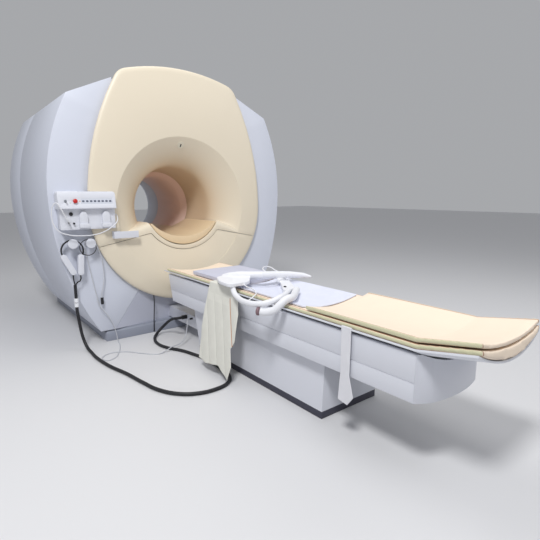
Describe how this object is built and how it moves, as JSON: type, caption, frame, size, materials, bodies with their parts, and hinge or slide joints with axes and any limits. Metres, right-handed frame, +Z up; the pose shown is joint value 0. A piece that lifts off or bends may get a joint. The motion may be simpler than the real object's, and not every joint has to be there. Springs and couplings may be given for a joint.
{
  "type": "mri scanner",
  "caption": "Closed-bore magnetic resonance scanner with flared patient opening, control box, headphones and a lifting patient table with mattress and coils.",
  "frame": {"origin": "on the floor under the middle of the patient bore", "axes": "+Z up, +Y along the bore away from the patient table, +X to the right when facing the front cover"},
  "size_m": [2.293, 4.8293, 2.392],
  "materials": {
    "base_grey": "satin",
    "cream": "satin",
    "panel_grey": "satin",
    "silver": "satin",
    "liner": "satin",
    "bridge": "satin",
    "dark_glass": "gloss",
    "box_white": "satin",
    "key_grey": "matte",
    "stop_red": "gloss",
    "steel": "brushed",
    "black_plastic": "matte",
    "black_hose": "matte",
    "grey_cable": "satin",
    "vessel_steel": "satin",
    "iron": "matte",
    "resin": "satin",
    "plinth_dark": "satin",
    "table_grey": "satin",
    "top_white": "satin",
    "mattress_vinyl": "satin",
    "pad_grey": "matte",
    "pad_lavender": "matte",
    "coil_white": "satin",
    "cloth_cream": "matte",
    "strap_white": "matte",
    "aluminium": "satin",
    "sleeve_grey": "satin"
  },
  "bodies": {
    "scanner": {"base_plate": "base_grey", "front_cover_upper": "cream", "front_cover_lower": "cream", "lower_front_panel": "panel_grey", "side_cover_left": "silver", "side_cover_right": "silver", "side_cover_rear_left": "silver", "side_cover_rear_right": "silver", "rear_cover": "silver", "top_cover": "silver", "bore_liner": "liner", "bore_bridge": "bridge", "alignment_lights": "dark_glass", "control_box": "box_white", "key_pad": "key_grey", "panel_sockets": "black_plastic", "handsets": "box_white", "cable_hooks": "box_white", "front_shelf": "box_white", "headphone_band": "black_plastic", "headphone_cups": "box_white", "cable_collars": "black_plastic", "headset_hose": "black_hose", "hook_cable": "grey_cable", "hook_cable_plug": "black_plastic", "handset_cord": "grey_cable", "drop_cable": "black_hose", "magnet_vessel": "vessel_steel", "magnet_feet": "iron", "gradient_coil": "resin", "body_coil": "resin", "coil_wedges": "resin", "cold_head": "steel", "quench_pipe": "steel", "table_base_plate": "plinth_dark", "pedestal_shroud": "table_grey", "cable_duct": "table_grey", "connector_plugs": "black_plastic", "column_outer_tubes": "aluminium"},
    "stop_button": {"stop_button": "stop_red"},
    "key_switch": {"key_switch": "steel"},
    "lift_middle": {"middle_sleeve": "sleeve_grey", "column_middle_tubes": "aluminium"},
    "lift": {"inner_sleeve": "sleeve_grey", "column_inner_tubes": "aluminium", "beam_frame": "aluminium", "beam_cover_left": "table_grey", "beam_cover_right": "table_grey", "beam_end_cover": "table_grey", "beam_head_cover": "table_grey"},
    "top": {"tabletop": "top_white", "mattress": "mattress_vinyl", "foot_mattress": "mattress_vinyl", "head_pad": "pad_grey", "flat_pad": "pad_lavender", "coil_hoop": "coil_white", "coil_arm": "coil_white", "cloth": "cloth_cream", "strap": "strap_white"}
  },
  "joints": [
    {"name": "table_lift", "type": "slide", "parent": "scanner", "child": "lift", "axis": [0, 0, 1], "range_m": [0, 0.4]},
    {"name": "lift_stage", "type": "slide", "parent": "scanner", "child": "lift_middle", "axis": [0, 0, 1], "range_m": [0, 0.2]},
    {"name": "table_slide", "type": "slide", "parent": "lift", "child": "top", "axis": [0, 1, 0], "range_m": [0, 0.08]},
    {"name": "stop_press", "type": "slide", "parent": "scanner", "child": "stop_button", "axis": [0, 0.9839, -0.1788], "range_m": [0, 0.005], "stiffness_N_per_m": 800, "springref_m": -0.002},
    {"name": "key_turn", "type": "hinge", "parent": "scanner", "child": "key_switch", "pos_m": [-1.044, -1.03391, 1.212], "axis": [0, -0.9839, 0.1788], "range_deg": [0, 90]}
  ],
  "couplings": [
    {"joint": "lift_stage", "follows": "table_lift", "ratio": 0.5}
  ]
}
